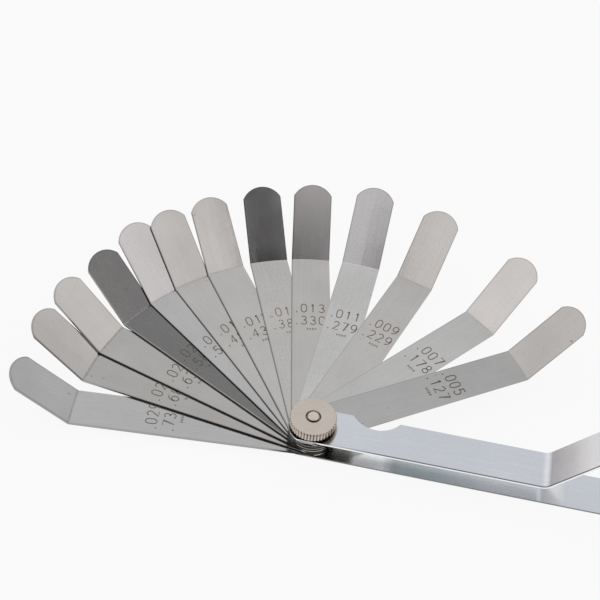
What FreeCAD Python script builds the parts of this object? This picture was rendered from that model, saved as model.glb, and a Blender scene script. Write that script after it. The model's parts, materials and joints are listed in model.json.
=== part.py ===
"""Feeler gauge with bent blades: a folded sheet holder, thirteen blades on one pivot, and a locking nut.

Frame: millimetres, origin on the pivot's axis at the underside of the bolt's head, +Z up,
+X along the holder. Each piece is one solid, written to parts/NODE.step.
"""
import FreeCAD, Part
import math
import os

from FreeCAD import Vector

INCH = 25.4

# Blades. Each one is named by its thickness in thousandths of an inch, the thickest at the bottom.
BLADE_THOUSANDTHS = range(29, 4, -2)
THICKNESS_STEP = 0.002 * INCH
BLADE_FAN_ANGLES = [184.7, 171.9, 162.7, 152.1, 142.6, 134.6, 124.8, 112.7, 101.3, 87.5, 72.0, 50.4, 33.8]
BLADE_LENGTHS = [96.2, 96.6, 97.0, 96.0, 97.9, 96.9, 96.5, 96.8, 96.7, 98.0, 96.5, 96.3, 96.4]
BLADE_WIDTH = INCH / 2
BLADE_BEND_ANGLE = 42.1
BLADE_BEND_RADIUS = 0.6
BLADE_END_RADIUS = 7.2
BLADE_GAP = 0.05
LOWEST_BLADE_BEND = 73.0

# Holder: one strip of sheet, folded over at its far end.
SHEET = 0.6
HOLDER_END_RADIUS = 7.25
STRIP_START = -10.0
TOP_LEAF_BEND = 70.2
TOP_LEAF_BEND_ANGLE = 50.5
TOP_LEAF_BEND_RADIUS = 3.5
TOP_LEAF_SLOPE_LENGTH = 33.0
TOP_FOLD_RADIUS = 2.6
BOTTOM_LEAF_LENGTH = 99.0
BOTTOM_FOLD_RADIUS = 3.5
THUMB_NOTCH_RADIUS = 8.4
THUMB_NOTCH_CENTRE = (18.55, 10.9)

# Pivot bolt: a flat head, a square neck that stops it turning, and a shank with a narrower point.
HEAD_RADIUS = 4.25
HEAD_HEIGHT = 1.4
HEAD_CHAMFER = 0.25
NECK_WIDTH = 4.2
BOLT_RADIUS = 2.08
BOLT_POINT_RADIUS = 1.75
BOLT_POINT_LENGTH = 0.95
BOLT_POINT_CHAMFER = 0.25
BOLT_POINT_RISE = 0.45

# Washer and knurled nut.
WASHER_RADIUS = 5.4
WASHER_THICKNESS = 1.0
NUT_RADIUS = 7.0
NUT_HEIGHT = 2.9
NUT_TOP_CHAMFER = 0.15
NUT_BOTTOM_CHAMFER = 0.2
NUT_COUNTERSINK = 0.15
KNURL_TEETH = 44
KNURL_DEPTH = 0.32
KNURL_CREST_SHARE = 0.3

# Clearances.
PIVOT_CLEARANCE = 0.06
HOLE_CLEARANCE = 0.15
NECK_CLEARANCE = 0.05
NUT_GAP = 0.04

# Tools that cut: longer than anything that they cut through.
UP = Vector(0, 0, 1)
FAR = 200.0
CUT_DEPTH = 3 * SHEET
SECTION_OVERRUN = 1.0


def rounded_path(points, radii):
    """Edges along points in the XZ plane, with each inner corner rounded to its radius."""
    edges = []
    start = points[0]
    for before, corner, after, radius in zip(points, points[1:], points[2:], radii):
        into = (corner - before).normalize()
        out = (after - corner).normalize()
        turn = into.getAngle(out)
        tangent = radius * math.tan(turn / 2)
        inward = (out - into).normalize()
        arc_start = corner - into * tangent
        arc_end = corner + out * tangent
        arc_middle = corner + inward * (radius / math.cos(turn / 2) - radius)
        edges.append(Part.LineSegment(start, arc_start).toShape())
        edges.append(Part.Arc(arc_start, arc_middle, arc_end).toShape())
        start = arc_end
    edges.append(Part.LineSegment(start, points[-1]).toShape())
    return edges


def offset_points(points, distance):
    """The corners of a path moved sideways by distance, to the left of its direction."""
    directions = [(b - a).normalize() for a, b in zip(points, points[1:])]
    lefts = [Vector(-d.z, 0, d.x) for d in directions]
    moved = [points[0] + lefts[0] * distance]
    for point, left_before, left_after in zip(points[1:], lefts, lefts[1:]):
        middle = (left_before + left_after).normalize()
        moved.append(point + middle * (distance / middle.dot(left_after)))
    moved.append(points[-1] + lefts[-1] * distance)
    return moved


def parallel_path(points, radii, distance):
    """Edges of the rounded path moved sideways by distance, with its bends kept concentric."""
    side_radii = []
    for before, corner, after, radius in zip(points, points[1:], points[2:], radii):
        into, out = corner - before, after - corner
        turns_left = into.x * out.z - into.z * out.x > 0
        side_radii.append(radius - distance if turns_left else radius + distance)
    return rounded_path(offset_points(points, distance), side_radii)


def bent_strip_section(points, radii, thickness):
    """Face in the XZ plane: a bent strip with its middle line along points."""
    left = parallel_path(points, radii, thickness / 2)
    right = parallel_path(points, radii, -thickness / 2)
    caps = [
        Part.LineSegment(left[0].Vertexes[0].Point, right[0].Vertexes[0].Point).toShape(),
        Part.LineSegment(left[-1].Vertexes[-1].Point, right[-1].Vertexes[-1].Point).toShape(),
    ]
    edges = [edge for group in Part.sortEdges(left + right + caps) for edge in group]
    return Part.Face(Part.Wire(edges))


def round_ended_prism(end_radius, width, straight, height):
    """A bar along +X from a round end about the Z axis, from -height to height."""
    shoulder = math.sqrt(end_radius ** 2 - (width / 2) ** 2)
    near, far = Vector(-shoulder, -width / 2, 0), Vector(-shoulder, width / 2, 0)
    corner_far, corner_near = Vector(straight, width / 2, 0), Vector(straight, -width / 2, 0)
    outline = Part.Wire([
        Part.Arc(near, Vector(-end_radius, 0, 0), far).toShape(),
        Part.LineSegment(far, corner_far).toShape(),
        Part.LineSegment(corner_far, corner_near).toShape(),
        Part.LineSegment(corner_near, near).toShape(),
    ])
    prism = Part.Face(outline).extrude(UP * 2 * height)
    prism.translate(UP * -height)
    return prism


def blade(thickness, length, underside, bend, bore_radius):
    """A blade along +X: flat to the bend, then a tip whose surfaces are cones about the pivot.

    Coaxial cones keep the same gap at any angle between two blades, so they pass each other.
    """
    slope = math.radians(BLADE_BEND_ANGLE)
    along_tip = Vector(math.cos(slope), 0, math.sin(slope))
    middle = underside + thickness / 2
    crease = Vector(bend, 0, middle)
    tip_end = crease + along_tip * (length - bend + SECTION_OVERRUN)
    path = [Vector(bore_radius, 0, middle), crease, tip_end]
    section = bent_strip_section(path, [BLADE_BEND_RADIUS], thickness)
    solid = section.revolve(Vector(0, 0, 0), UP, 360)
    solid = solid.common(round_ended_prism(BLADE_END_RADIUS, BLADE_WIDTH, FAR, FAR))
    tip_outline = round_ended_prism(BLADE_END_RADIUS, BLADE_WIDTH, FAR, FAR)
    tip_outline.rotate(Vector(0, 0, 0), Vector(0, 1, 0), 180 - BLADE_BEND_ANGLE)
    tip_outline.translate(crease + along_tip * (length - bend - BLADE_END_RADIUS))
    return solid.common(tip_outline)


def holder(bottom_leaf, top_leaf):
    """One folded strip: bottom leaf, end wall, sloping part and top leaf, open along both sides."""
    slope = math.radians(TOP_LEAF_BEND_ANGLE)
    low, high = bottom_leaf + SHEET / 2, top_leaf + SHEET / 2
    top_corner = Vector(TOP_LEAF_BEND + TOP_LEAF_SLOPE_LENGTH * math.cos(slope), 0,
                        high + TOP_LEAF_SLOPE_LENGTH * math.sin(slope))
    path = [
        Vector(STRIP_START, 0, low),
        Vector(BOTTOM_LEAF_LENGTH, 0, low),
        top_corner,
        Vector(TOP_LEAF_BEND, 0, high),
        Vector(STRIP_START, 0, high),
    ]
    radii = [BOTTOM_FOLD_RADIUS, TOP_FOLD_RADIUS, TOP_LEAF_BEND_RADIUS]
    strip = bent_strip_section(path, radii, SHEET).extrude(Vector(0, BLADE_WIDTH, 0))
    strip.translate(Vector(0, -BLADE_WIDTH / 2, 0))
    strip = strip.common(round_ended_prism(HOLDER_END_RADIUS, BLADE_WIDTH, FAR, FAR))
    side = NECK_WIDTH + 2 * NECK_CLEARANCE
    neck_hole = Part.makeBox(side, side, CUT_DEPTH, Vector(-side / 2, -side / 2, bottom_leaf - SHEET))
    bolt_hole = Part.makeCylinder(BOLT_RADIUS + HOLE_CLEARANCE, CUT_DEPTH, Vector(0, 0, top_leaf - SHEET))
    notch_foot = Vector(*THUMB_NOTCH_CENTRE, top_leaf - SHEET)
    thumb_notch = Part.makeCylinder(THUMB_NOTCH_RADIUS, CUT_DEPTH, notch_foot)
    return strip.cut(neck_hole).cut(bolt_hole).cut(thumb_notch)


def turned(outline):
    """Solid of revolution about the Z axis from (radius, height) points."""
    points = [Vector(r, 0, z) for r, z in outline]
    return Part.Face(Part.makePolygon(points + points[:1])).revolve(Vector(0, 0, 0), UP, 360)


def pivot_bolt(bottom_leaf, tip):
    """Flat round head, square neck in the bottom leaf, round shank and a narrower chamfered point."""
    head = turned([
        (0, 0), (HEAD_RADIUS - HEAD_CHAMFER, 0), (HEAD_RADIUS, HEAD_CHAMFER),
        (HEAD_RADIUS, HEAD_HEIGHT), (0, HEAD_HEIGHT),
    ])
    neck = Part.makeBox(NECK_WIDTH, NECK_WIDTH, SHEET, Vector(-NECK_WIDTH / 2, -NECK_WIDTH / 2, bottom_leaf))
    shoulder = tip - BOLT_POINT_LENGTH
    shank = turned([
        (0, HEAD_HEIGHT), (BOLT_RADIUS, HEAD_HEIGHT), (BOLT_RADIUS, shoulder), (BOLT_POINT_RADIUS, shoulder),
        (BOLT_POINT_RADIUS, tip - BOLT_POINT_CHAMFER), (BOLT_POINT_RADIUS - BOLT_POINT_CHAMFER, tip), (0, tip),
    ])
    return head.fuse([neck, shank]).removeSplitter()


def washer(underside):
    ring = Part.makeCylinder(WASHER_RADIUS, WASHER_THICKNESS, Vector(0, 0, underside))
    bore = Part.makeCylinder(BOLT_RADIUS + HOLE_CLEARANCE, WASHER_THICKNESS, Vector(0, 0, underside))
    return ring.cut(bore)


def knurled_nut(underside):
    """Round nut: straight knurl, chamfered rims and a countersunk bore."""
    pitch = 2 * math.pi / KNURL_TEETH
    half_crest = KNURL_CREST_SHARE * pitch / 2
    root_radius = NUT_RADIUS - KNURL_DEPTH
    outline = []
    for tooth in range(KNURL_TEETH):
        centre = tooth * pitch
        for radius, angle in ((NUT_RADIUS, centre - half_crest), (NUT_RADIUS, centre + half_crest),
                              (root_radius, centre + pitch / 2)):
            outline.append(Vector(radius * math.cos(angle), radius * math.sin(angle), underside))
    teeth = Part.Face(Part.makePolygon(outline + outline[:1])).extrude(UP * NUT_HEIGHT)
    top = underside + NUT_HEIGHT
    bore = BOLT_RADIUS + PIVOT_CLEARANCE
    body = turned([
        (bore, underside), (NUT_RADIUS - NUT_BOTTOM_CHAMFER, underside),
        (NUT_RADIUS, underside + NUT_BOTTOM_CHAMFER), (NUT_RADIUS, top - NUT_TOP_CHAMFER),
        (NUT_RADIUS - NUT_TOP_CHAMFER, top), (bore + NUT_COUNTERSINK, top), (bore, top - NUT_COUNTERSINK),
    ])
    return teeth.common(body)


def build():
    """Every piece by its node's name, stacked upwards along the pivot."""
    bottom_leaf = HEAD_HEIGHT
    pieces = {}
    level = bottom_leaf + SHEET
    bend = LOWEST_BLADE_BEND
    nest = math.tan(math.radians(BLADE_BEND_ANGLE) / 2)
    for thousandths, angle, length in zip(BLADE_THOUSANDTHS, BLADE_FAN_ANGLES, BLADE_LENGTHS):
        level += BLADE_GAP
        thickness = thousandths / 1000 * INCH
        piece = blade(thickness, length, level, bend, BOLT_RADIUS + PIVOT_CLEARANCE)
        piece.rotate(Vector(0, 0, 0), UP, angle)
        pieces[f"blade_{thousandths:03d}"] = piece
        level += thickness
        bend -= nest * (thickness / 2 + BLADE_GAP + (thickness - THICKNESS_STEP) / 2)
    top_leaf = level + BLADE_GAP
    washer_foot = top_leaf + SHEET
    nut_foot = washer_foot + WASHER_THICKNESS + NUT_GAP
    pieces["holder"] = holder(bottom_leaf, top_leaf)
    pieces["pivot_bolt"] = pivot_bolt(bottom_leaf, nut_foot + NUT_HEIGHT + BOLT_POINT_RISE)
    pieces["washer"] = washer(washer_foot)
    pieces["knurled_nut"] = knurled_nut(nut_foot)
    return pieces


def main():
    os.makedirs("parts", exist_ok=True)
    for name, shape in build().items():
        solid = shape.Solids[0]
        if len(shape.Solids) != 1 or not solid.isValid():
            raise ValueError(f"{name} is not one valid solid")
        solid.exportStep(f"parts/{name}.step")
        print(f"{name}: {solid.Volume:.2f} mm3")


main()
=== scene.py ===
"""Feeler gauge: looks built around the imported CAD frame. Metres, +X along the holder, +Z up."""
import json
import math

import bpy
from mathutils import Matrix, Vector


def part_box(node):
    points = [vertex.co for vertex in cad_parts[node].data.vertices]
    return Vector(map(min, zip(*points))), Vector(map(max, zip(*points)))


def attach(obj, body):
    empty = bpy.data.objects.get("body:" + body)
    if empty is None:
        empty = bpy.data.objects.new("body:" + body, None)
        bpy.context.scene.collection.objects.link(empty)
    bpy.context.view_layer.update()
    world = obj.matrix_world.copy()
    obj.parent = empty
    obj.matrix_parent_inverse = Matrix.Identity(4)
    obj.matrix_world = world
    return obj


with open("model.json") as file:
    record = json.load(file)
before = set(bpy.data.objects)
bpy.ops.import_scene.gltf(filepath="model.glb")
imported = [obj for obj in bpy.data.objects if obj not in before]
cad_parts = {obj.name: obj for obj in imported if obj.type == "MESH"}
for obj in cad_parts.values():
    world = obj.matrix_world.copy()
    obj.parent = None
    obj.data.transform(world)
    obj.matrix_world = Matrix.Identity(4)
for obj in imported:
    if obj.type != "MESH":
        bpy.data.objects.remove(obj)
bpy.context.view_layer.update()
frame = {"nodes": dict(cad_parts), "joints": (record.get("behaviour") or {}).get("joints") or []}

MM = 0.001
THOUSANDTH = 0.0254 * MM

# Camera, found from the pivot: it looks down on the gauge, turned and rolled a little.
CAMERA_LENS = 73.8
CAMERA_SENSOR = 36.0
CAMERA_AZIMUTH = math.radians(7.53)
CAMERA_ELEVATION = math.radians(46.55)
CAMERA_ROLL = math.radians(5.09)
CAMERA_DEPTH = 370.8 * MM
PIVOT_RIGHT_OF_AXIS = 3.3 * MM
PIVOT_ABOVE_AXIS = -41.8 * MM
PIVOT_LEVEL = 2.0 * MM

# Blades, lowest first: the thickness in thousandths of an inch, and the figures for it in millimetres.
THICKNESSES = range(29, 4, -2)
MILLIMETRES = {29: ".737", 27: ".686", 25: ".635", 23: ".584", 21: ".533", 19: ".483", 17: ".432",
               15: ".381", 13: ".330", 11: ".279", 9: ".229", 7: ".178", 5: ".127"}
DARK_BLADE = 23

# A blade's own shape and the gap to its neighbours, as the CAD has them.
HALF_WIDTH = 6.35 * MM
END_RADIUS = 7.2 * MM
BEND_ANGLE = math.radians(42.1)
LOWEST_BEND = 73.0 * MM
BLADE_GAP = 0.05 * MM

# Tints of the steel.
WARM = (1.0, 0.975, 0.950)
NEUTRAL = (1.0, 0.990, 0.985)
BLUISH = (0.99, 0.99, 1.0)
STRAW = (1.0, 0.952, 0.930)
PINKISH = (1.0, 0.950, 0.955)
LILAC = (1.0, 0.970, 0.985)
WHITE = (1.0, 1.0, 1.005)

# How the steel of one blade differs from the next. On its faces, flat and tip are the brightness of the
# two parts, tint and tip_tint their tints, crease the painted shading of the line at the bend (painted
# shade below 1, a painted highlight above), crease_width how far that line reaches to each side, mottle the
# strength of the fine mottling, left_edge the painted shadow along the left edge (a painted highlight
# above 1) and the rear entry the painted shade behind the pivot, under the holder's top leaf and the nut (a
# painted highlight above 1). On its cut edges, clear_wall and close_wall are the tip's brightness where it
# stands clear and where, in painted shade, it stands close above another blade, and the pivot-edge entry is
# how bright the painted highlight on their upper half is round the pivot. What is left out has its default
# in blade_steel and blade_walls.
LOOKS = {
    29: dict(flat=0.470, tip=0.488, tint=BLUISH, tip_tint=WHITE, crease=0.78),
    27: dict(flat=0.428, tip=0.482, tint=WARM, crease=0.76, clear_wall=0.12, pivot_edge_highlight=0.9),
    25: dict(flat=0.438, tip=0.492, tint=WARM, crease=0.78, close_wall=0.30),
    23: dict(flat=0.184, tip=0.169, tint=NEUTRAL, tip_tint=PINKISH, crease=1.45, crease_width=0.25 * MM,
             mottle=0.12, left_edge=1.9),
    21: dict(flat=0.482, tip=0.540, tint=BLUISH, tip_tint=PINKISH, crease=0.86, pivot_edge_highlight=0.9),
    19: dict(flat=0.505, tip=0.520, tint=WARM, crease=0.85),
    17: dict(flat=0.508, tip=0.542, tint=WARM, crease=0.88, left_edge=0.55, pivot_edge_highlight=0.8),
    15: dict(flat=0.510, tip=0.595, tint=WARM, tip_tint=LILAC, crease=1.0, mottle=0.12, left_edge=0.5),
    13: dict(flat=0.492, tip=0.522, tint=WARM, tip_tint=PINKISH, crease=1.0, left_edge=0.5),
    11: dict(flat=0.552, tip=0.563, tint=NEUTRAL, tip_tint=LILAC, crease=1.05, mottle=0.07, pivot_edge_highlight=0.8),
    9: dict(flat=0.500, tip=0.508, tint=WARM, crease=0.88, mottle=0.06),
    7: dict(flat=0.510, tip=0.530, tint=NEUTRAL, crease=0.88, rear_shading=1.2),
    5: dict(flat=0.420, tip=0.430, tint=NEUTRAL, crease=0.95, rear_shading=1.7),
}


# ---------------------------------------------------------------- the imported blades

def blade_name(thousandths):
    return f"blade_{thousandths:03d}"


def thickness_of(node):
    """A blade's thickness, from the thousandths of an inch in its name."""
    return int(node[-3:]) * THOUSANDTH


def flat_top(node):
    """Height of a blade's flat upper face: its lowest level plus its thickness."""
    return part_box(node)[0].z + thickness_of(node)


def flat_middle(node):
    return flat_top(node) - thickness_of(node) / 2


def tip_length(node):
    """Length of a blade's tip from its bend, from how high it reaches."""
    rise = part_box(node)[1].z - flat_middle(node) - thickness_of(node) / 2 * math.cos(BEND_ANGLE)
    return rise / math.sin(BEND_ANGLE)


def resting_angle(node):
    """Angle of a blade in the resting fan, which is how far its hinge can turn it back into the holder."""
    hinge = next(joint for joint in frame["joints"] if joint["name"] == node + "_pivot")
    return math.radians(-hinge["range_deg"][0])


# Levels of the stack: middle of the lowest blade, and the faces of the holder's leaves next to the blades.
LOWEST_MIDDLE = flat_middle("blade_029")
LOW_LEAF_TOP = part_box("blade_029")[0].z - BLADE_GAP
TOP_LEAF_FOOT = flat_top("blade_005") + BLADE_GAP


# ---------------------------------------------------------------- node helpers

class Nodes:
    """A material's node tree, with short calls for the nodes used here."""

    def __init__(self, name):
        self.material = bpy.data.materials.new(name)
        self.material.use_nodes = True
        self.tree = self.material.node_tree
        self.shader = self.tree.nodes["Principled BSDF"]

    def add(self, kind, **settings):
        node = self.tree.nodes.new(kind)
        for key, value in settings.items():
            setattr(node, key, value)
        return node

    def link(self, source, target):
        self.tree.links.new(source, target)

    def set(self, node, **values):
        for key, value in values.items():
            node.inputs[key.replace("_", " ")].default_value = value
        return node

    def object_point(self, angle=0.0, scale=(1.0, 1.0, 1.0)):
        """Object coordinates turned by -angle about Z, so that X runs along a blade, then scaled."""
        coordinates = self.add("ShaderNodeTexCoord")
        turn = self.add("ShaderNodeMapping", vector_type="POINT")
        turn.inputs["Rotation"].default_value = (0.0, 0.0, -angle)
        self.link(coordinates.outputs["Object"], turn.inputs["Vector"])
        stretch = self.add("ShaderNodeMapping", vector_type="POINT")
        stretch.inputs["Scale"].default_value = scale
        self.link(turn.outputs["Vector"], stretch.inputs["Vector"])
        return stretch.outputs["Vector"]

    def noise(self, point, scale, detail=3.0, roughness=0.55, seed=0.0):
        node = self.add("ShaderNodeTexNoise", noise_dimensions="4D")
        self.link(point, node.inputs["Vector"])
        self.set(node, W=seed, Scale=scale, Detail=detail, Roughness=roughness)
        return node.outputs["Fac"]

    def remap(self, value, low, high, to_low=0.0, to_high=1.0):
        node = self.add("ShaderNodeMapRange", clamp=True)
        self.link(value, node.inputs["Value"])
        self.set(node, From_Min=low, From_Max=high, To_Min=to_low, To_Max=to_high)
        return node.outputs["Result"]

    def mix(self, share, first, second):
        """A colour between first and second, each a colour or a socket."""
        node = self.add("ShaderNodeMix", data_type="RGBA")
        self.link(share, node.inputs["Factor"])
        for socket, colour in ((node.inputs["A"], first), (node.inputs["B"], second)):
            if isinstance(colour, tuple):
                socket.default_value = (*colour, 1.0)
            else:
                self.link(colour, socket)
        return node.outputs["Result"]

    def maths(self, operation, first, second=0.0):
        node = self.add("ShaderNodeMath", operation=operation)
        for socket, value in zip(node.inputs, (first, second)):
            if isinstance(value, (int, float)):
                socket.default_value = value
            else:
                self.link(value, socket)
        return node.outputs["Value"]

    def split(self, point):
        node = self.add("ShaderNodeSeparateXYZ")
        self.link(point, node.inputs["Vector"])
        return node.outputs["X"], node.outputs["Y"], node.outputs["Z"]

    def times(self, first, *rest):
        for value in rest:
            first = self.maths("MULTIPLY", first, value)
        return first

    def distance(self, first, second):
        """Length of the hypotenuse over first and second."""
        squares = [self.maths("MULTIPLY", value, value) for value in (first, second)]
        return self.maths("SQRT", self.maths("ADD", *squares))

    def dim(self, colour, factor):
        node = self.add("ShaderNodeVectorMath", operation="SCALE")
        self.link(colour, node.inputs["Vector"])
        self.link(factor, node.inputs["Scale"])
        return node.outputs["Vector"]

    def ramp(self, value, stops):
        """Colour that runs through stops, a list of (value, colour), with straight changes between."""
        low, high = stops[0][0], stops[-1][0]
        node = self.add("ShaderNodeValToRGB")
        self.link(self.remap(value, low, high), node.inputs["Fac"])
        elements = node.color_ramp.elements
        while len(elements) < len(stops):
            elements.new(1.0)
        for element, (place, colour) in zip(elements, stops):
            element.position = (place - low) / (high - low)
            element.color = (*colour, 1.0)
        return node.outputs["Color"]

    def bump(self, height, distance, strength=1.0, after=None):
        node = self.add("ShaderNodeBump")
        self.link(height, node.inputs["Height"])
        self.set(node, Distance=distance, Strength=strength)
        if after is not None:
            self.link(after, node.inputs["Normal"])
        return node.outputs["Normal"]

    def finish(self, colour, roughness, normal, metallic=1.0):
        self.link(colour, self.shader.inputs["Base Color"])
        self.link(roughness, self.shader.inputs["Roughness"])
        self.link(normal, self.shader.inputs["Normal"])
        self.set(self.shader, Metallic=metallic)
        return self.material


def side_mask(nodes):
    """1 on walls that stand upright, such as a blade's cut edges, and 0 on its broad faces."""
    geometry = nodes.add("ShaderNodeNewGeometry")
    _, _, upward = nodes.split(geometry.outputs["Normal"])
    return nodes.remap(nodes.maths("ABSOLUTE", upward), 0.25, 0.45, 1.0, 0.0)


def toned(tone, tint):
    """The colour tint, tone times as bright."""
    return tuple(tone * part for part in tint)


# ---------------------------------------------------------------- blade steel

# Scale of the rolled steel's lines along the blade, across it and through it.
ROLLED_BLADE = (6.0, 240.0, 6.0)

RIM_SHADE = 0.72
PIVOT_END = 10.0 * MM
SPECK_BROWN = (0.10, 0.065, 0.04)
# Cut-edge colours: WALL_BLACK is painted shade, WALL_GREY the edges' own grey and WALL_BRIGHT a painted
# highlight.
WALL_BLACK = (0.012, 0.010, 0.008)
WALL_GREY = (0.36, 0.345, 0.335)
WALL_BRIGHT = (0.62, 0.60, 0.57)


def blade_steel(node, angle, seed, flat, tip, tint, crease, tip_tint=STRAW, crease_width=0.5 * MM,
                mottle=0.03, left_edge=0.83, rear_shading=0.12, **walls):
    """Rolled spring steel: fine lines, cloudy film, mottling, specks, a darker rim round the tip, and
    painted shading along the bend line.

    By default the steel behind the pivot is painted dark, as the shade under the holder's top leaf and the
    nut.
    """
    nodes = Nodes("steel_" + node[-3:])
    plain = nodes.object_point(angle)
    along, across, height = nodes.split(plain)
    past_bend = distance_past_bend(nodes, node, along, height)
    past_crease = nodes.maths("SUBTRACT", past_bend, thickness_of(node) / 2 * math.tan(BEND_ANGLE / 2))
    from_crease = nodes.maths("ABSOLUTE", past_crease)
    on_tip = nodes.remap(past_crease, -0.05 * MM, 0.10 * MM)
    # on_crease masks the painted shading along the bend line.
    on_crease = nodes.remap(from_crease, 0.2 * crease_width, crease_width, 1.0, 0.0)
    on_rim = nodes.times(on_tip, tip_rim(nodes, past_bend, across, tip_length(node)))

    lines = nodes.noise(nodes.object_point(angle, ROLLED_BLADE), 12.0, 4.0, 0.6, seed)
    clouds = nodes.noise(plain, 55.0, 3.0, 0.55, seed + 3.1)
    grain = nodes.noise(plain, 1900.0, 3.0, 0.6, seed + 4.4)
    shade = nodes.times(nodes.remap(clouds, 0.30, 0.70, 0.94, 1.05),
                        nodes.remap(lines, 0.30, 0.70, 1.03, 0.96),
                        nodes.remap(grain, 0.30, 0.70, 1.0 - mottle, 1.0 + mottle),
                        nodes.remap(on_rim, 0.0, 1.0, 1.0, RIM_SHADE),
                        # painted shadow along the left edge, or a painted highlight where left_edge is
                        # above 1
                        nodes.remap(across, HALF_WIDTH - 0.42 * MM, HALF_WIDTH - 0.15 * MM, 1.0, left_edge),
                        # painted shade behind the pivot, or a painted highlight where the rear value is
                        # above 1
                        nodes.remap(along, -1.0 * MM, 1.0 * MM, rear_shading, 1.0),
                        # painted shading along the bend line: painted shade below 1, a painted highlight
                        # above 1
                        nodes.remap(on_crease, 0.0, 1.0, 1.0, crease))
    colour = nodes.dim(nodes.mix(on_tip, toned(flat, tint), toned(tip, tip_tint)), shade)
    colour = nodes.mix(specks(nodes, plain, seed), colour, SPECK_BROWN)
    wall = blade_walls(nodes, node, along, across, height, on_tip, **walls)
    colour = nodes.mix(side_mask(nodes), colour, wall)
    roughness = nodes.remap(clouds, 0.3, 0.7, 0.13, 0.18)
    return nodes.finish(colour, roughness, nodes.bump(lines, 0.00002, 0.5))


def distance_past_bend(nodes, node, along, height):
    """How far a point lies past a blade's bend, measured along its tip."""
    middle = flat_middle(node)
    bend = LOWEST_BEND - math.tan(BEND_ANGLE / 2) * (middle - LOWEST_MIDDLE)
    return nodes.maths("ADD", nodes.times(nodes.maths("SUBTRACT", along, bend), math.cos(BEND_ANGLE)),
                       nodes.times(nodes.maths("SUBTRACT", height, middle), math.sin(BEND_ANGLE)))


def tip_rim(nodes, past_bend, across, length):
    """1 along the outline of a blade's tip, fading to 0 within half a millimetre."""
    past_centre = nodes.maths("SUBTRACT", past_bend, length - END_RADIUS)
    from_centre = nodes.distance(nodes.maths("MAXIMUM", past_centre, 0.0), across)
    to_end = nodes.maths("SUBTRACT", END_RADIUS, from_centre)
    to_side = nodes.maths("SUBTRACT", HALF_WIDTH, nodes.maths("ABSOLUTE", across))
    return nodes.remap(nodes.maths("MINIMUM", to_end, to_side), 0.10 * MM, 0.45 * MM, 1.0, 0.0)


def specks(nodes, plain, seed):
    """A few small stains, in loose groups."""
    spots = nodes.noise(plain, 420.0, 2.0, 0.5, seed + 7.7)
    patches = nodes.noise(plain, 90.0, 1.0, 0.5, seed + 5.3)
    return nodes.times(nodes.remap(spots, 0.70, 0.76), nodes.remap(patches, 0.48, 0.58, 0.0, 0.5))


def blade_walls(nodes, node, along, across, height, on_tip, clear_wall=0.36, close_wall=0.012, pivot_edge_highlight=0.06):
    """Colour of a blade's cut edges: painted shade round the pivot, but for a painted highlight on the
    upper half.
    """
    clear = nodes.mix(on_tip, WALL_GREY, (clear_wall,) * 3)
    close = nodes.mix(on_tip, WALL_BLACK, (close_wall,) * 3)
    top = flat_top(node)
    thickness = thickness_of(node)
    # painted highlight on the upper half of the cut edges round the pivot
    upper = nodes.remap(height, top - 0.45 * thickness, top - 0.33 * thickness, 0.0, pivot_edge_highlight)
    round_pivot = nodes.remap(nodes.distance(along, across), PIVOT_END, PIVOT_END + 4.0 * MM, 1.0, 0.0)
    return nodes.mix(round_pivot, sheared_wall(nodes, clear, close),
                     nodes.mix(upper, WALL_BLACK, WALL_BRIGHT))


def sheared_wall(nodes, clear, close):
    """Colour of a cut edge: clear where it stands free, and close, a painted shade found by ambient
    occlusion, just above another blade.
    """
    openness = nodes.add("ShaderNodeAmbientOcclusion", samples=6)
    nodes.set(openness, Distance=2.5 * MM)
    return nodes.mix(nodes.remap(openness.outputs["AO"], 0.74, 0.92), close, clear)


# ---------------------------------------------------------------- plating

# Scale of the rolled sheet's lines along the holder, across it and through it.
ROLLED_SHEET = (5.0, 260.0, 5.0)

# Painted shadow of the nut on the top leaf.
NUT_SHADOW = (0.26, 0.21, 0.18)
NUT_SHADOW_RADIUS = 7.35 * MM
NUT_SHADOW_OFFSET = 1.1 * MM
# Painted dark reflection along the top leaf's rounded near edge.
EDGE_LINE_GREY = (0.10, 0.10, 0.10)
EDGE_LINE_WIDTH = 0.25 * MM
EDGE_LINE_START = 3.0 * MM
EDGE_LINE_FULL = 22.0 * MM
# Cut edges of the holder with painted shading: painted shade at the low leaf, a painted highlight at the
# top leaf.
LOW_CUT_EDGE = (0.22, 0.21, 0.21)
TOP_CUT_EDGE = (0.86, 0.87, 0.89)
NICKEL_DARK = (0.540, 0.484, 0.438)
NICKEL_LIGHT = (0.580, 0.520, 0.470)
# Darker knurl grooves, and painted shade on the knurl's top band.
KNURL_DARKENING = (0.26, 0.20, 0.155)
# Painted shade of the nut on the washer's wall.
WASHER_SHADE = (0.11, 0.09, 0.075)
# Painted shade: the brown ring in the gap between nut and bolt.
GAP_SHADE_BROWN = (0.24, 0.18, 0.14)
OUTER_WALLS = 4.5 * MM

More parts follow.
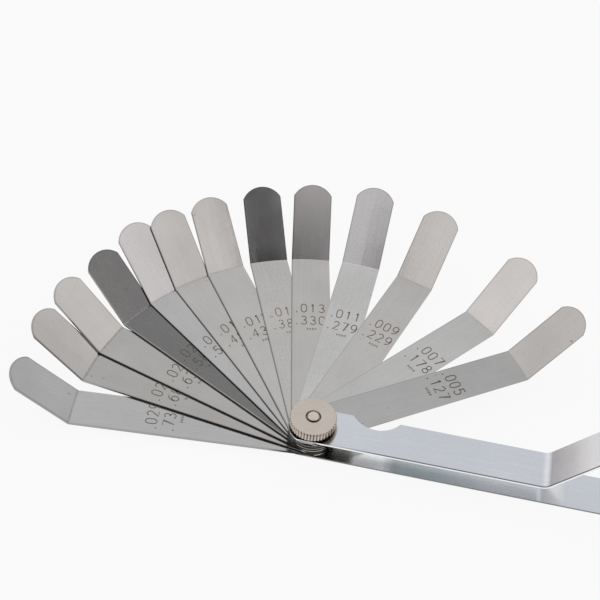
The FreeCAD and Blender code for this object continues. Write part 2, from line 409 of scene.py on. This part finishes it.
# Plating with painted light and shade by distance from the pivot: on the outer faces a painted highlight
# across the far bend and brighter painted reflection on the slope past it, and on the faces that look at
# each other painted shade near the pivot and painted light under the thumb notch.
PLATING = (0.600, 0.624, 0.673)
OUTER_PLATING_LIGHT = [
    (0.0, PLATING), (68.5 * MM, PLATING), (69.2 * MM, (0.68, 0.70, 0.75)), (69.85 * MM, (0.80, 0.82, 0.87)),
    (70.3 * MM, (0.81, 0.83, 0.87)), (70.95 * MM, (0.60, 0.60, 0.62)), (73.5 * MM, (0.68, 0.68, 0.69)),
    (76.0 * MM, (0.75, 0.75, 0.76)), (78.5 * MM, (0.89, 0.89, 0.90)), (80.5 * MM, (0.96, 0.96, 0.97)),
    (100.0 * MM, (0.96, 0.96, 0.97)),
]
INNER_PLATING_LIGHT = [
    (0.0, (0.28, 0.28, 0.27)), (8.0 * MM, (0.38, 0.38, 0.37)), (12.0 * MM, (0.46, 0.46, 0.45)),
    (13.8 * MM, (0.94, 0.94, 0.95)), (22.0 * MM, (0.93, 0.94, 0.96)), (26.0 * MM, (0.64, 0.67, 0.68)),
    (32.0 * MM, (0.64, 0.675, 0.69)), (48.0 * MM, (0.70, 0.72, 0.74)), (53.0 * MM, (0.73, 0.74, 0.76)),
    (69.0 * MM, (0.74, 0.75, 0.77)), (74.0 * MM, (0.72, 0.73, 0.76)), (77.0 * MM, PLATING),
    (100.0 * MM, PLATING),
]


def plated_sheet():
    """Bright satin plating over rolled sheet: long lines, soft dents, and painted light and shade that vary
    along it.
    """
    nodes = Nodes("plated_sheet")
    plain = nodes.object_point()
    along, across, height = nodes.split(plain)
    lines = nodes.noise(nodes.object_point(0.0, ROLLED_SHEET), 12.0, 3.0, 0.6, 1.0)
    clouds = nodes.noise(plain, 38.0, 3.0, 0.5, 2.0)
    grain = nodes.noise(plain, 1500.0, 3.0, 0.6, 6.0)
    # Painted light and shade along the holder, outside and between the leaves.
    colour = nodes.mix(between_leaves(nodes, height), nodes.ramp(along, OUTER_PLATING_LIGHT),
                       nodes.ramp(along, INNER_PLATING_LIGHT))
    # Painted shadow of the nut on the top leaf.
    colour = nodes.mix(nut_shadow(nodes, along, across, height), colour, NUT_SHADOW)
    # Painted dark reflection along the top leaf's rounded near edge.
    colour = nodes.mix(near_edge_reflection(nodes, along, across, height), colour, EDGE_LINE_GREY)
    # Painted shading on the cut edges: dark at the low leaf, rising to a painted highlight on the top leaf.
    cut_edge = nodes.mix(nodes.remap(height, LOW_LEAF_TOP + 0.1 * MM, TOP_LEAF_FOOT - 0.3 * MM),
                         LOW_CUT_EDGE, TOP_CUT_EDGE)
    colour = nodes.mix(side_mask(nodes), colour, cut_edge)
    shade = nodes.times(nodes.remap(clouds, 0.35, 0.65, 0.975, 1.025),
                        nodes.remap(lines, 0.35, 0.75, 1.02, 0.95),
                        nodes.remap(grain, 0.3, 0.7, 0.975, 1.025))
    roughness = nodes.remap(clouds, 0.3, 0.7, 0.13, 0.19)
    normal = nodes.bump(clouds, 0.0004, 0.15, nodes.bump(lines, 0.00002, 0.3))
    return nodes.finish(nodes.dim(colour, shade), roughness, normal)


def between_leaves(nodes, height):
    """1 between the holder's leaves, and so on their faces that look at each other."""
    return nodes.times(nodes.remap(height, LOW_LEAF_TOP - 0.10 * MM, LOW_LEAF_TOP - 0.02 * MM),
                       nodes.remap(height, TOP_LEAF_FOOT + 0.02 * MM, TOP_LEAF_FOOT + 0.10 * MM, 1.0, 0.0))


def on_top_leaf(nodes, height):
    """1 on the top leaf's upper face, and on all that is higher."""
    return nodes.remap(height, TOP_LEAF_FOOT + 0.2 * MM, TOP_LEAF_FOOT + 0.3 * MM)


def nut_shadow(nodes, along, across, height):
    """How much painted shadow of the nut lies on the top leaf round it, which shows as a thin brown rim on
    its near side.
    """
    from_shadow = nodes.distance(along, nodes.maths("ADD", across, NUT_SHADOW_OFFSET))
    return nodes.times(nodes.remap(from_shadow, NUT_SHADOW_RADIUS, NUT_SHADOW_RADIUS + 0.4 * MM, 0.85, 0.0),
                       on_top_leaf(nodes, height))


def near_edge_reflection(nodes, along, across, height):
    """How dark the top leaf's near edge is: a painted dark reflection along its rounded corner, a thin line
    that fades towards the pivot.
    """
    from_near_edge = nodes.maths("ADD", HALF_WIDTH, across)
    return nodes.times(nodes.remap(from_near_edge, EDGE_LINE_WIDTH, EDGE_LINE_WIDTH + 0.3 * MM, 1.0, 0.0),
                       on_top_leaf(nodes, height),
                       nodes.remap(along, EDGE_LINE_START, EDGE_LINE_FULL, 0.0, 0.95))


def nickel(name, tone=1.0, dark_walls=None, shade_ring=None):
    """Warm nickel plating with faint turning rings.

    The dark-walls argument is None or (colour, reach, collar): outer walls have that colour out to the
    radius reach, and above the height collar too unless that is None. The shade-ring argument is None or
    the radii of a brown ring of painted shade on the top.
    """
    nodes = Nodes(name)
    plain = nodes.object_point()
    east, north, height = nodes.split(plain)
    radius = nodes.distance(east, north)
    outward = nodes.add("ShaderNodeCombineXYZ")
    nodes.link(radius, outward.inputs["X"])
    turning = nodes.noise(outward.outputs["Vector"], 2400.0, 2.0, 0.5, 4.0)
    clouds = nodes.noise(plain, 210.0, 3.0, 0.5, 9.0)
    grain = nodes.noise(plain, 1900.0, 3.0, 0.6, 5.0)
    colour = nodes.mix(nodes.remap(clouds, 0.35, 0.65), toned(tone, NICKEL_DARK), toned(tone, NICKEL_LIGHT))
    if dark_walls is not None:
        dark_colour, *extent = dark_walls
        colour = nodes.mix(darkened_walls(nodes, radius, height, *extent), colour, dark_colour)
    if shade_ring is not None:
        colour = nodes.mix(in_shade_ring(nodes, radius, height, *shade_ring), colour, GAP_SHADE_BROWN)
    shade = nodes.times(nodes.remap(turning, 0.3, 0.7, 0.965, 1.035),
                        nodes.remap(grain, 0.3, 0.7, 0.97, 1.03))
    roughness = nodes.remap(clouds, 0.3, 0.7, 0.24, 0.34)
    return nodes.finish(nodes.dim(colour, shade), roughness, nodes.bump(turning, 0.00001, 0.6))


def darkened_walls(nodes, radius, height, reach, collar):
    """Share of darkening: 1 on outer walls out to the radius reach, and 0.8 on the others above the height
    collar.
    """
    outer_wall = nodes.times(side_mask(nodes), nodes.remap(radius, OUTER_WALLS, OUTER_WALLS + 0.5 * MM))
    darkened = nodes.remap(radius, reach, reach + 0.2 * MM, 1.0, 0.0)
    if collar is not None:
        darkened = nodes.maths("MAXIMUM", darkened, nodes.remap(height, collar, collar + 0.1 * MM, 0.0, 0.8))
    return nodes.times(outer_wall, darkened)


def in_shade_ring(nodes, radius, height, inner, outer):
    """1 between two radii, above the holder: the ring of painted shade."""
    return nodes.times(nodes.remap(radius, inner - 0.05 * MM, inner),
                       nodes.remap(radius, outer, outer + 0.08 * MM, 1.0, 0.0),
                       nodes.remap(height, TOP_LEAF_FOOT + 0.7 * MM, TOP_LEAF_FOOT + 0.8 * MM))


# ---------------------------------------------------------------- figures

INK_TINT = (1.0, 0.84, 0.70)
ETCH_LIFT = 0.012 * MM
ETCH_DEPTH = 0.014 * MM
ARC_STEPS = 10
DOT_SIZE = 0.42 * MM

# Lettering: step from one character to the next, a character's width and height, and the stroke's width.
FIGURE_SIZES = (2.9 * MM, 1.75 * MM, 3.5 * MM, 0.32 * MM)
UNIT_SIZES = (1.7 * MM, 1.1 * MM, 0.85 * MM, 0.2 * MM)

# Places of the millimetre row and the unit along the blade, back from the inch row, and of the points and
# the unit across it, from the first figure.
ROW_STEP = 5.3 * MM
UNIT_STEP = 9.1 * MM
POINT_ACROSS = 2.35 * MM
UNIT_ACROSS = -1.6 * MM

# Where each blade was stamped by hand: the middle of its first figure, along and across the blade.
STAMPS = {
    29: (48.4, 1.7), 27: (49.3, 2.3), 25: (48.2, 1.7), 23: (49.3, 2.1), 21: (47.9, 1.7),
    19: (48.3, 1.3), 17: (47.1, 1.2), 15: (48.1, 1.1), 13: (48.8, 2.3), 11: (47.5, 2.1),
    9: (47.9, 1.7), 7: (48.4, 1.6), 5: (47.9, 2.5),
}


def etched_ink(name, tone):
    """Dull brown-grey etched surface of the figures."""
    nodes = Nodes(name)
    grain = nodes.noise(nodes.object_point(), 2600.0, 2.0, 0.5, 3.0)
    colour = nodes.mix(nodes.remap(grain, 0.35, 0.65), toned(0.7 * tone, INK_TINT), toned(tone, INK_TINT))
    roughness = nodes.remap(grain, 0.3, 0.7, 0.5, 0.7)
    return nodes.finish(colour, roughness, nodes.bump(grain, 0.00001, 0.5), metallic=0.4)


def arc(cx, cy, rx, ry, start, end):
    """Points of an elliptical arc in the unit figure cell, angles in degrees."""
    steps = max(3, round(abs(end - start) / 360 * 4 * ARC_STEPS))
    angles = [math.radians(start + (end - start) * i / steps) for i in range(steps + 1)]
    return [(cx + rx * math.cos(a), cy + ry * math.sin(a)) for a in angles]


# Each figure is a list of strokes in a cell 1 wide and 1 high.
FIGURES = {
    "0": [arc(0.5, 0.68, 0.5, 0.32, 0, 180) + arc(0.5, 0.32, 0.5, 0.32, 180, 360) + [(1.0, 0.68)]],
    "1": [[(0.28, 0.82), (0.55, 1.0), (0.55, 0.0)]],
    "2": [arc(0.5, 0.72, 0.46, 0.28, 160, -35) + [(0.02, 0.0), (1.0, 0.0)]],
    "3": [arc(0.48, 0.755, 0.42, 0.245, 150, -90) + arc(0.48, 0.26, 0.50, 0.26, 90, -155)],
    "4": [[(0.74, 0.0), (0.74, 1.0), (0.0, 0.28), (1.0, 0.28)]],
    "5": [[(0.92, 1.0), (0.16, 1.0), (0.08, 0.54)] + arc(0.46, 0.32, 0.50, 0.32, 128, -150)],
    "6": [[(0.86, 0.98)] + arc(0.66, 0.34, 0.66, 0.60, 120, 180) + arc(0.5, 0.31, 0.5, 0.31, 180, 540)],
    "7": [[(0.02, 1.0), (1.0, 1.0), (0.36, 0.0)]],
    "8": [arc(0.5, 0.755, 0.40, 0.245, -90, 270), arc(0.5, 0.26, 0.50, 0.26, 90, 450)],
    "9": [arc(0.5, 0.69, 0.5, 0.31, 0, 360) + arc(0.34, 0.66, 0.66, 0.60, 0, -60) + [(0.14, 0.02)]],
    "m": [[(0.0, 0.0), (0.0, 1.0), (0.5, 0.35), (1.0, 1.0), (1.0, 0.0)]],
}


def ribbon(points, width):
    """Left and right edge points of a stroke of constant width along points."""
    edges = []
    for i, point in enumerate(points):
        before = points[max(0, i - 1)]
        after = points[min(len(points) - 1, i + 1)]
        direction = (after - before).normalized()
        left = Vector((-direction.y, direction.x))
        if 0 < i < len(points) - 1:
            first = (point - before).normalized()
            cosine = max(0.5, abs(first.dot(direction)))
            left = left / cosine
        edges.append((point + left * width / 2, point - left * width / 2))
    return edges


class FigureMesh:
    """Collects the strokes of one blade's figures as thin slabs in the blade's own plane."""

    def __init__(self):
        self.vertices = []
        self.faces = []

    def stroke(self, points, width):
        edges = ribbon(points, width)
        base = len(self.vertices)
        for left, right in edges:
            for level in (0.0, ETCH_DEPTH):
                self.vertices.append((left.x, left.y, level))
                self.vertices.append((right.x, right.y, level))
        for i in range(len(edges) - 1):
            a, b = base + 4 * i, base + 4 * (i + 1)
            self.faces.append((a + 2, a + 3, b + 3, b + 2))
            self.faces.append((a + 1, a, b, b + 1))
            self.faces.append((a, a + 2, b + 2, b))
            self.faces.append((a + 3, a + 1, b + 1, b + 3))
        last = base + 4 * (len(edges) - 1)
        self.faces.append((base, base + 1, base + 3, base + 2))
        self.faces.append((last + 1, last, last + 2, last + 3))

    def text(self, text, along, across, advance, width, height, stroke):
        """Characters with tops along the blade, read from +Y to -Y, the first one centred at across."""
        for i, character in enumerate(text):
            centre = across - i * advance
            if character == ".":
                self.point(along - height / 2, centre)
                continue
            for points in FIGURES[character]:
                cell = [Vector((along + (y - 0.5) * height, centre - (x - 0.5) * width)) for x, y in points]
                self.stroke(cell, stroke)

    def point(self, along, across):
        left = Vector((along, across + DOT_SIZE / 2))
        right = Vector((along, across - DOT_SIZE / 2))
        self.stroke([left, right], DOT_SIZE)

    def build(self, name):
        mesh = bpy.data.meshes.new(name)
        mesh.from_pydata(self.vertices, [], self.faces)
        mesh.update()
        piece = bpy.data.objects.new(name, mesh)
        bpy.context.scene.collection.objects.link(piece)
        return piece


def blade_figures(thousandths, angle, material):
    """The blade's thickness in inches and in millimetres, etched on its upper face."""
    node = blade_name(thousandths)
    figures = FigureMesh()
    row, first = (place * MM for place in STAMPS[thousandths])
    for line, text in ((row, f".{thousandths:03d}"), (row - ROW_STEP, MILLIMETRES[thousandths])):
        figures.text(text[0], line, first + POINT_ACROSS, *FIGURE_SIZES)
        figures.text(text[1:], line, first, *FIGURE_SIZES)
    figures.text("mm", row - UNIT_STEP, first + UNIT_ACROSS, *UNIT_SIZES)
    piece = figures.build(f"figures_{thousandths:03d}")
    lift = Matrix.Translation((0, 0, flat_top(node) + ETCH_LIFT))
    piece.matrix_world = lift @ Matrix.Rotation(angle, 4, "Z")
    piece.data.materials.append(material)
    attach(piece, node)
    return piece


# ---------------------------------------------------------------- assembly

# Brightness of the figures' ink, and how far apart the noise of one blade and the next is.
INK = 0.20
DARK_INK = 0.13
FAINT_INK = 0.30
SEED_STEP = 1.7

# Where the fastening is darkened, by painted shade and in the knurl's grooves: NUT_COLLAR is a depth below
# the nut's top, and the others are radii.
KNURL_ROOT = 6.72 * MM
NUT_COLLAR = 0.6 * MM
BORE_RIM = 2.30 * MM
ALL_OF_WASHER = 6.0 * MM
BOLT_POINT = 1.76 * MM
BOLT_OUTSIDE = 3.0 * MM

# Brightness of the bolt, beside the nut's and the washer's.
BOLT_TONE = 1.12


def dress(node, material):
    piece = frame["nodes"][node]
    piece.data.materials.clear()
    piece.data.materials.append(material)


def dress_holder():
    dress("holder", plated_sheet())


def dress_fastening():
    """Nut, washer and bolt: darker in the knurl's grooves, with painted shade on the knurl's top band, on
    the washer under the nut and in the gap between nut and bolt.
    """
    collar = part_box("knurled_nut")[1].z - NUT_COLLAR
    knurl_darkening = (KNURL_DARKENING, KNURL_ROOT, collar)
    washer_shade = (WASHER_SHADE, ALL_OF_WASHER, None)
    dress("knurled_nut", nickel("nut_nickel", dark_walls=knurl_darkening, shade_ring=(0.0, BORE_RIM)))
    dress("washer", nickel("washer_nickel", dark_walls=washer_shade))
    dress("pivot_bolt", nickel("bolt_nickel", BOLT_TONE, shade_ring=(BOLT_POINT, BOLT_OUTSIDE)))


def dress_blades():
    ink = etched_ink("etched_ink", INK)
    dark_ink = etched_ink("dark_ink", DARK_INK)
    unusual_inks = {DARK_BLADE: dark_ink, 5: dark_ink, 15: etched_ink("faint_ink", FAINT_INK)}
    for index, thousandths in enumerate(THICKNESSES):
        node = blade_name(thousandths)
        angle = resting_angle(node)
        dress(node, blade_steel(node, angle, index * SEED_STEP, **LOOKS[thousandths]))
        blade_figures(thousandths, angle, unusual_inks.get(thousandths, ink))


# ---------------------------------------------------------------- stage

FLOOR_LEVEL = -0.2 * MM
FLOOR_SIZE = 6.0
FLOOR_GLOW = 0.905
FLOOR_REFLECTANCE = 0.055
CARD_DISTANCE = 0.8
GRADED_HEIGHT = 0.22
HORIZON_LIGHT = 0.70
ZENITH_LIGHT = 0.95

# Glow of each card from left to right: place, glow at the foot, glow at the top.
FLAG_GRADES = [(-0.43, 0.35, 0.80), (-0.303, 0.05, 0.54), (-0.238, 0.58, 0.79), (-0.175, 1.08, 0.98),
               (-0.150, 0.90, 0.98), (-0.130, 0.0, 0.88), (-0.03, 0.0, 0.95), (0.040, 0.0, 1.22),
               (0.058, 0.0, 1.25), (0.073, 0.0, 0.16), (0.10, 0.0, 0.20), (0.15, 0.0, 0.16),
               (0.20, 0.0, 0.16), (0.272, 0.0, 0.10)]
RIGHT_GRADES = [(-0.42, 1.05, 1.05), (-0.20, 0.94, 0.94), (-0.02, 1.03, 1.03), (0.20, 1.06, 1.06),
                (0.34, 1.07, 1.07), (0.40, 0.94, 0.94), (0.55, 0.88, 0.88)]
LEFT_GRADES = [(-0.45, 1.13, 1.13), (0.05, 1.13, 1.13), (0.16, 1.05, 1.05), (0.38, 1.03, 1.03)]

# The cards: degrees right of the camera's side, degrees up, left, right, low and high edges, and grades.
CARDS = {
    "softbox_right": (84, 36, -0.42, 0.55, -0.15, 0.42, RIGHT_GRADES),
    "softbox_left": (-78, 38, -0.45, 0.38, -0.12, 0.38, LEFT_GRADES),
    "flag": (12, 58, -0.43, 0.272, -0.20, 0.12, FLAG_GRADES),
}


def plane(name, centre, normal, width, height, material):
    mesh = bpy.data.meshes.new(name)
    corners = [(-width / 2, -height / 2, 0), (width / 2, -height / 2, 0),
               (width / 2, height / 2, 0), (-width / 2, height / 2, 0)]
    mesh.from_pydata(corners, [], [(0, 1, 2, 3)])
    thing = bpy.data.objects.new(name, mesh)
    bpy.context.scene.collection.objects.link(thing)
    thing.rotation_euler = Vector(normal).to_track_quat("Z", "Y").to_euler()
    thing.location = centre
    mesh.materials.append(material)
    return thing


def floor_paper():
    """White paper that glows evenly and reflects little, so that the shadows on it stay faint."""
    nodes = Nodes("floor_paper")
    reflected = (FLOOR_REFLECTANCE, FLOOR_REFLECTANCE, FLOOR_REFLECTANCE, 1.0)
    nodes.set(nodes.shader, Base_Color=reflected, Roughness=0.9, Specular_IOR_Level=0.0,
              Emission_Color=(1.0, 1.0, 1.0, 1.0), Emission_Strength=FLOOR_GLOW)
    return nodes.material


def card_cloth(name, middle, height, grades):
    """Glowing cloth: grades run from left to right over it, and middle is the place of its middle."""
    nodes = Nodes(name)
    across, rise, _ = nodes.split(nodes.object_point())
    place = nodes.maths("SUBTRACT", middle, across)
    foot = nodes.ramp(place, [(where, (glow,) * 3) for where, glow, _ in grades])
    head = nodes.ramp(place, [(where, (glow,) * 3) for where, _, glow in grades])
    top = height / 2
    glow = nodes.mix(nodes.remap(rise, top - min(GRADED_HEIGHT, height), top), foot, head)
    nodes.link(glow, nodes.shader.inputs["Emission Color"])
    nodes.set(nodes.shader, Base_Color=(0.0, 0.0, 0.0, 1.0), Roughness=1.0, Specular_IOR_Level=0.0,
              Emission_Strength=1.0)
    return nodes.material


def card(name, azimuth, elevation, left, right, low, high, grades):
    """A glowing card facing the pivot, azimuth degrees right of the camera's side and elevation degrees up.

    It reaches from left to right and from low to high of that direction, seen from the camera. Grades is
    a list of (place from left to right, glow at its foot, glow at its top), with all of the change in its
    upper GRADED_HEIGHT. The camera doesn't see it: it lights the gauge, or darkens it, and shows in its
    reflections.
    """
    azimuth, elevation = math.radians(azimuth), math.radians(elevation)
    toward = view_rotation() @ Vector((math.sin(azimuth) * math.cos(elevation),
                                       -math.cos(azimuth) * math.cos(elevation), math.sin(elevation)))
    rightward = (-toward).cross(Vector((0, 0, 1))).normalized()
    upward = rightward.cross(-toward)
    centre = toward * CARD_DISTANCE + rightward * (left + right) / 2 + upward * (low + high) / 2
    cloth = card_cloth(name + "_cloth", (left + right) / 2, high - low, grades)
    thing = plane(name, centre, -toward, right - left, high - low, cloth)
    thing.visible_camera = False
    thing.visible_shadow = False


def sky():
    """Soft white light from all round, a little dimmer towards the horizon."""
    world = bpy.data.worlds.new("room")
    bpy.context.scene.world = world
    world.use_nodes = True
    tree = world.node_tree
    coordinates = tree.nodes.new("ShaderNodeTexCoord")
    split = tree.nodes.new("ShaderNodeSeparateXYZ")
    ramp = tree.nodes.new("ShaderNodeMapRange")
    ramp.inputs["To Min"].default_value = HORIZON_LIGHT
    ramp.inputs["To Max"].default_value = ZENITH_LIGHT
    tree.links.new(coordinates.outputs["Generated"], split.inputs["Vector"])
    tree.links.new(split.outputs["Z"], ramp.inputs["Value"])
    tree.links.new(ramp.outputs["Result"], tree.nodes["Background"].inputs["Strength"])
    tree.nodes["Background"].inputs["Color"].default_value = (1.0, 1.0, 1.0, 1.0)


def room():
    """Pale floor, a softbox at each side, and a card with dark and bright bands above the camera."""
    sky()
    plane("floor", (0, 0, FLOOR_LEVEL), (0, 0, 1), FLOOR_SIZE, FLOOR_SIZE, floor_paper())
    for name, measures in CARDS.items():
        card(name, *measures)


def view_rotation():
    """Turn about Z from the gauge's axes to the camera's side."""
    return Matrix.Rotation(CAMERA_AZIMUTH, 3, "Z")


def camera():
    forward = view_rotation() @ Vector((0, math.cos(CAMERA_ELEVATION), -math.sin(CAMERA_ELEVATION)))
    level_right = view_rotation() @ Vector((1, 0, 0))
    level_up = level_right.cross(forward)
    right = level_right * math.cos(CAMERA_ROLL) + level_up * math.sin(CAMERA_ROLL)
    up = level_up * math.cos(CAMERA_ROLL) - level_right * math.sin(CAMERA_ROLL)
    pivot = Vector((0, 0, PIVOT_LEVEL))
    data = bpy.data.cameras.new("camera")
    data.lens = CAMERA_LENS
    data.sensor_width = CAMERA_SENSOR
    data.clip_start = 0.01
    data.clip_end = 20.0
    thing = bpy.data.objects.new("camera", data)
    bpy.context.scene.collection.objects.link(thing)
    place = pivot - right * PIVOT_RIGHT_OF_AXIS - up * PIVOT_ABOVE_AXIS - forward * CAMERA_DEPTH
    turn = Matrix((right, up, -forward)).transposed()
    thing.matrix_world = Matrix.Translation(place) @ turn.to_4x4()
    bpy.context.scene.camera = thing


bpy.context.scene.view_settings.view_transform = "Standard"
camera()
room()
dress_holder()
dress_fastening()
dress_blades()
